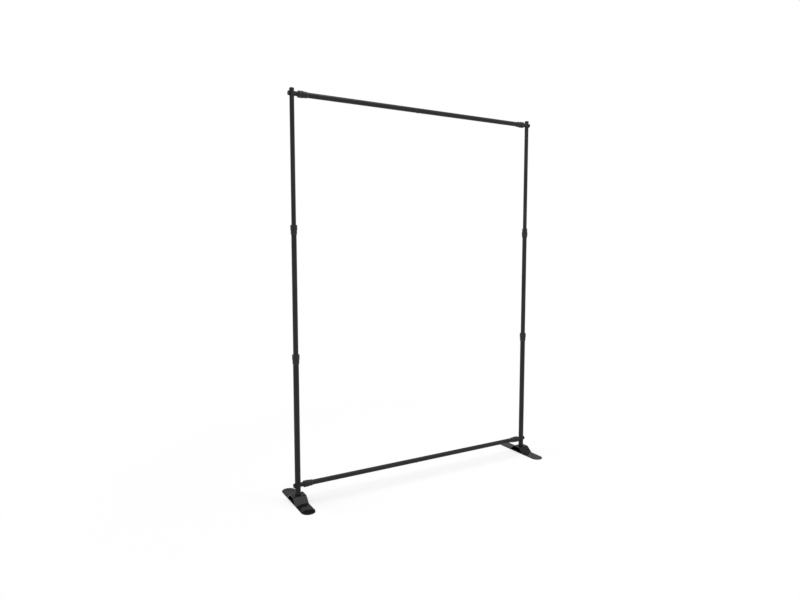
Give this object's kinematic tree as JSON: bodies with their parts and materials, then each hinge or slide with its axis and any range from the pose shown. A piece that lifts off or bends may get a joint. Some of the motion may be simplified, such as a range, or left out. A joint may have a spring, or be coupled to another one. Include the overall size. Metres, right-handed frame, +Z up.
{
  "type": "banner stand",
  "caption": "Adjustable banner stand: telescopic posts on bridge-shaped feet joined by extending crossbars, with twist locks and knob screws, for hanging a backdrop.",
  "frame": {"origin": "on the floor, midway between the two posts and midway between the front and back ends of the feet", "axes": "+X from the left post to the right post, +Y from front to back, +Z up along the posts"},
  "size_m": [1.926, 0.436, 2.536],
  "materials": {
    "tube_coat": "satin black powder coat on tube",
    "foot_coat": "semi-gloss black powder coat on welded steel plate",
    "lock_plastic": "black moulded nylon",
    "knob_plastic": "black moulded plastic",
    "guide_plastic": "natural acetal, turned",
    "plug_plastic": "black moulded nylon",
    "spring_steel": "blackened spring steel"
  },
  "bodies": {
    "bottom_bar": {"bottom_left_half": "tube_coat", "bottom_right_half": "tube_coat", "bottom_sleeves": "lock_plastic", "bottom_collets": "guide_plastic", "bottom_button_spring": "spring_steel"},
    "top_bar": {"top_left_half": "tube_coat", "top_right_half": "tube_coat", "top_sleeves": "lock_plastic", "top_collets": "guide_plastic", "top_button_spring": "spring_steel"},
    "left_lower": {"left_bottom_plug": "plug_plastic", "left_lower_tube": "tube_coat", "left_lower_sleeve": "lock_plastic", "left_lower_collet": "guide_plastic", "bottom_left_inner_tube": "tube_coat", "bottom_left_bush": "guide_plastic", "bottom_left_saddle": "plug_plastic"},
    "left_middle": {"left_middle_tube": "tube_coat", "left_middle_bush": "guide_plastic", "left_upper_sleeve": "lock_plastic", "left_upper_collet": "guide_plastic"},
    "left_upper": {"left_upper_tube": "tube_coat", "left_top_cap": "lock_plastic", "left_upper_bushes": "guide_plastic", "top_left_inner_tube": "tube_coat", "top_left_saddle": "plug_plastic"},
    "right_lower": {"right_bottom_plug": "plug_plastic", "right_lower_tube": "tube_coat", "right_lower_sleeve": "lock_plastic", "right_lower_collet": "guide_plastic", "bottom_right_inner_tube": "tube_coat", "bottom_right_bush": "guide_plastic", "bottom_right_saddle": "plug_plastic"},
    "right_middle": {"right_middle_tube": "tube_coat", "right_middle_bush": "guide_plastic", "right_upper_sleeve": "lock_plastic", "right_upper_collet": "guide_plastic"},
    "right_upper": {"right_upper_tube": "tube_coat", "right_top_cap": "lock_plastic", "right_upper_bushes": "guide_plastic", "top_right_inner_tube": "tube_coat", "top_right_saddle": "plug_plastic"},
    "left_foot": {"left_foot": "foot_coat"},
    "right_foot": {"right_foot": "foot_coat"},
    "left_foot_screw": {"left_foot_screw": "knob_plastic"},
    "right_foot_screw": {"right_foot_screw": "knob_plastic"},
    "left_lower_nut": {"left_lower_nut": "lock_plastic"},
    "right_lower_nut": {"right_lower_nut": "lock_plastic"},
    "left_upper_nut": {"left_upper_nut": "lock_plastic"},
    "right_upper_nut": {"right_upper_nut": "lock_plastic"},
    "top_left_nut": {"top_left_nut": "lock_plastic"},
    "top_right_nut": {"top_right_nut": "lock_plastic"},
    "bottom_left_nut": {"bottom_left_nut": "lock_plastic"},
    "bottom_right_nut": {"bottom_right_nut": "lock_plastic"},
    "top_left_screw": {"top_left_screw": "knob_plastic"},
    "top_right_screw": {"top_right_screw": "knob_plastic"},
    "bottom_left_screw": {"bottom_left_screw": "knob_plastic"},
    "bottom_right_screw": {"bottom_right_screw": "knob_plastic"},
    "top_button": {"top_button": "spring_steel"},
    "bottom_button": {"bottom_button": "spring_steel"}
  },
  "joints": [
    {"name": "left_width", "type": "slide", "parent": "bottom_bar", "child": "left_lower", "axis": [-1, 0, 0], "range_m": [0, 0.6]},
    {"name": "left_middle_slide", "type": "slide", "parent": "left_lower", "child": "left_middle", "axis": [0, 0, 1], "range_m": [-0.68, 0]},
    {"name": "left_upper_slide", "type": "slide", "parent": "left_middle", "child": "left_upper", "axis": [0, 0, 1], "range_m": [-0.745, 0]},
    {"name": "left_foot_swivel", "type": "hinge", "parent": "left_lower", "child": "left_foot", "pos_m": [-0.919, 0, 0.044], "axis": [0, 0, 1], "range_deg": [-90, 90]},
    {"name": "left_foot_screw_turn", "type": "hinge", "parent": "left_lower", "child": "left_foot_screw", "pos_m": [-0.919, 0, 0.03], "axis": [0, 0, 1], "continuous": true},
    {"name": "left_lower_nut_twist", "type": "hinge", "parent": "left_lower", "child": "left_lower_nut", "pos_m": [-0.919, 0, 0.9035], "axis": [0, 0, 1], "range_deg": [0, 120]},
    {"name": "left_upper_nut_twist", "type": "hinge", "parent": "left_middle", "child": "left_upper_nut", "pos_m": [-0.919, 0, 1.696], "axis": [0, 0, 1], "range_deg": [0, 120]},
    {"name": "bottom_left_nut_twist", "type": "hinge", "parent": "bottom_bar", "child": "bottom_left_nut", "pos_m": [-0.849, 0, 0.104], "axis": [-1, 0, 0], "range_deg": [0, 120]},
    {"name": "bottom_left_screw_turn", "type": "hinge", "parent": "left_lower", "child": "bottom_left_screw", "pos_m": [-0.919, 0, 0.104], "axis": [-1, 0, 0], "continuous": true},
    {"name": "top_left_nut_twist", "type": "hinge", "parent": "top_bar", "child": "top_left_nut", "pos_m": [-0.849, 0, 2.504], "axis": [-1, 0, 0], "range_deg": [0, 120]},
    {"name": "top_left_screw_turn", "type": "hinge", "parent": "left_upper", "child": "top_left_screw", "pos_m": [-0.919, 0, 2.504], "axis": [-1, 0, 0], "continuous": true},
    {"name": "right_width", "type": "slide", "parent": "bottom_bar", "child": "right_lower", "axis": [1, 0, 0], "range_m": [0, 0.6]},
    {"name": "right_middle_slide", "type": "slide", "parent": "right_lower", "child": "right_middle", "axis": [0, 0, 1], "range_m": [-0.68, 0]},
    {"name": "right_upper_slide", "type": "slide", "parent": "right_middle", "child": "right_upper", "axis": [0, 0, 1], "range_m": [-0.745, 0]},
    {"name": "right_foot_swivel", "type": "hinge", "parent": "right_lower", "child": "right_foot", "pos_m": [0.919, 0, 0.044], "axis": [0, 0, 1], "range_deg": [-90, 90]},
    {"name": "right_foot_screw_turn", "type": "hinge", "parent": "right_lower", "child": "right_foot_screw", "pos_m": [0.919, 0, 0.03], "axis": [0, 0, 1], "continuous": true},
    {"name": "right_lower_nut_twist", "type": "hinge", "parent": "right_lower", "child": "right_lower_nut", "pos_m": [0.919, 0, 0.9035], "axis": [0, 0, 1], "range_deg": [0, 120]},
    {"name": "right_upper_nut_twist", "type": "hinge", "parent": "right_middle", "child": "right_upper_nut", "pos_m": [0.919, 0, 1.712], "axis": [0, 0, 1], "range_deg": [0, 120]},
    {"name": "bottom_right_nut_twist", "type": "hinge", "parent": "bottom_bar", "child": "bottom_right_nut", "pos_m": [0.849, 0, 0.104], "axis": [1, 0, 0], "range_deg": [0, 120]},
    {"name": "bottom_right_screw_turn", "type": "hinge", "parent": "right_lower", "child": "bottom_right_screw", "pos_m": [0.919, 0, 0.104], "axis": [1, 0, 0], "continuous": true},
    {"name": "top_right_nut_twist", "type": "hinge", "parent": "top_bar", "child": "top_right_nut", "pos_m": [0.849, 0, 2.504], "axis": [1, 0, 0], "range_deg": [0, 120]},
    {"name": "top_right_screw_turn", "type": "hinge", "parent": "right_upper", "child": "top_right_screw", "pos_m": [0.919, 0, 2.504], "axis": [1, 0, 0], "continuous": true},
    {"name": "top_bar_slide", "type": "slide", "parent": "left_upper", "child": "top_bar", "axis": [1, 0, 0], "range_m": [0, 0.6]},
    {"name": "bottom_button_press", "type": "slide", "parent": "bottom_bar", "child": "bottom_button", "axis": [0, 0, 1], "range_m": [0, 0.005], "stiffness_N_per_m": 900, "springref_m": -0.003, "deforming": ["bottom_button_spring"]},
    {"name": "top_button_press", "type": "slide", "parent": "top_bar", "child": "top_button", "axis": [0, 0, 1], "range_m": [0, 0.005], "stiffness_N_per_m": 900, "springref_m": -0.003, "deforming": ["top_button_spring"]}
  ],
  "couplings": [
    {"joint": "right_middle_slide", "follows": "left_middle_slide", "ratio": 1},
    {"joint": "right_upper_slide", "follows": "left_upper_slide", "ratio": 1},
    {"joint": "top_bar_slide", "follows": "left_width", "ratio": 1}
  ]
}
